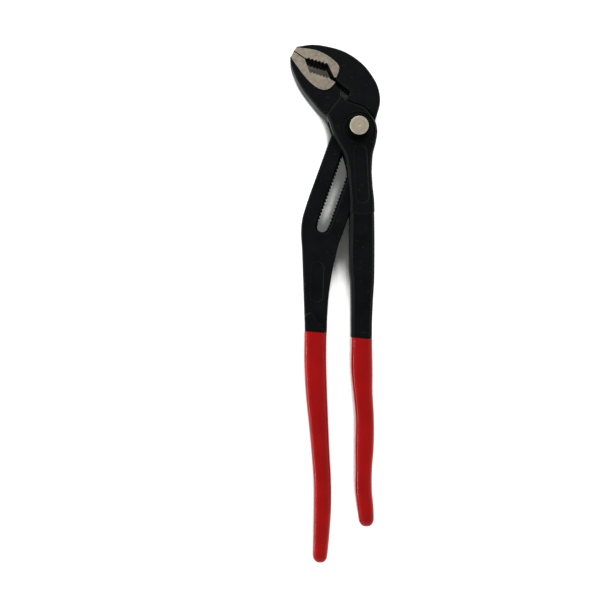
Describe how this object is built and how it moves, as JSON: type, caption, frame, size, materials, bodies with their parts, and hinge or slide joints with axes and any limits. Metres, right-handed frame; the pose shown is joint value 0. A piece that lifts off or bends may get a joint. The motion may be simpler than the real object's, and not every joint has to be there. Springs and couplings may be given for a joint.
{
  "type": "tongue and groove pliers",
  "caption": "Long slip-joint water pump pliers with a slotted hook lever in a box joint, a push button that frees the setting, toothed jaws and dipped grips.",
  "frame": {"origin": "on the joint's axis, at the flat rear face of the joint bolt, which lies in the plane of the box lever's rear cheek", "axes": "+Z along the joint's axis towards the push button; +Y along the tool towards the jaws; +X to the right with the button facing the viewer"},
  "size_m": [0.0693, 0.3999, 0.03],
  "materials": {
    "forged_black": "black oxide on forged chrome vanadium steel, satin",
    "ground_steel": "bare ground steel, fine grinding marks",
    "spring_steel": "bright spring steel",
    "dipped_grip": "glossy dipped red PVC"
  },
  "bodies": {
    "box_lever": {"box_lever": "forged_black", "box_lever_grip": "dipped_grip"},
    "joint_collar": {"button_collar": "forged_black", "retaining_ring": "spring_steel"},
    "joint_bolt": {"joint_bolt": "forged_black", "button_spring": "spring_steel"},
    "hook_lever": {"hook_lever": "forged_black", "hook_lever_grip": "dipped_grip"},
    "push_button": {"push_button": "ground_steel", "lock_block": "ground_steel"}
  },
  "joints": [
    {"name": "size_spread", "type": "hinge", "parent": "box_lever", "child": "joint_collar", "pos_m": [0, 0, 0.01], "axis": [0, 0, -1], "range_deg": [0, 9.7]},
    {"name": "jaw_pivot", "type": "hinge", "parent": "joint_collar", "child": "joint_bolt", "pos_m": [0, 0, 0.01], "axis": [0, 0, -1], "range_deg": [0, 30]},
    {"name": "size_setting", "type": "slide", "parent": "joint_bolt", "child": "hook_lever", "axis": [0.342, 0.9397, 0], "range_m": [0, 0.0728]},
    {"name": "button_press", "type": "slide", "parent": "joint_bolt", "child": "push_button", "axis": [0, 0, -1], "range_m": [0, 0.0038], "stiffness_N_per_m": 1500, "springref_m": -0.002, "deforming": ["button_spring"]}
  ],
  "couplings": [
    {"joint": "size_spread", "follows": "size_setting", "rad_per_m": 2.309}
  ]
}
